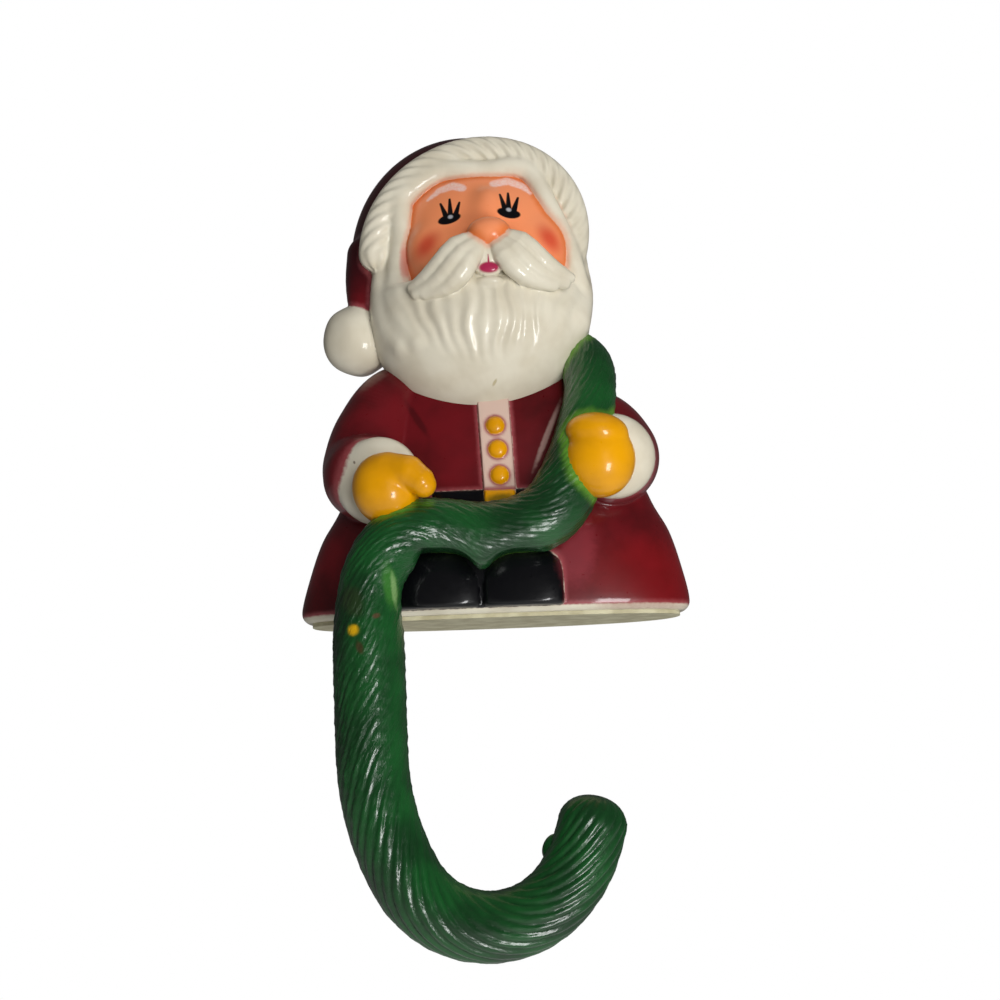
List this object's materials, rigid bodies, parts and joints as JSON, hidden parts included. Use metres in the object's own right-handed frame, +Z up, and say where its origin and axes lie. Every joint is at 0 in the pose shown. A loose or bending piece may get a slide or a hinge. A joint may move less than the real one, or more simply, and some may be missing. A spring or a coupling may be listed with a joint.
{
  "type": "mantel stocking holder",
  "caption": "Moulded robed figure that stands on a mantel and holds a rope garland that runs down in front of the shelf as a hook for a stocking.",
  "frame": {"origin": "middle of the underside of the base plate, on the mantel", "axes": "+X is the viewer's right, -Y is the front where the hook is, +Z is up along the figure and is the longest extent, Y is the shortest"},
  "size_m": [0.0999, 0.0624, 0.2159],
  "materials": {
    "painted_moulding": "glossy spray paint on a white plastic moulding",
    "cream_plate": "plain aged cream plastic",
    "ballast_steel": "plain, hidden inside the hollow"
  },
  "bodies": {
    "root": {"figure_and_hook": "painted_moulding", "base_plate": "cream_plate", "ballast_weight": "ballast_steel"}
  },
  "joints": []
}
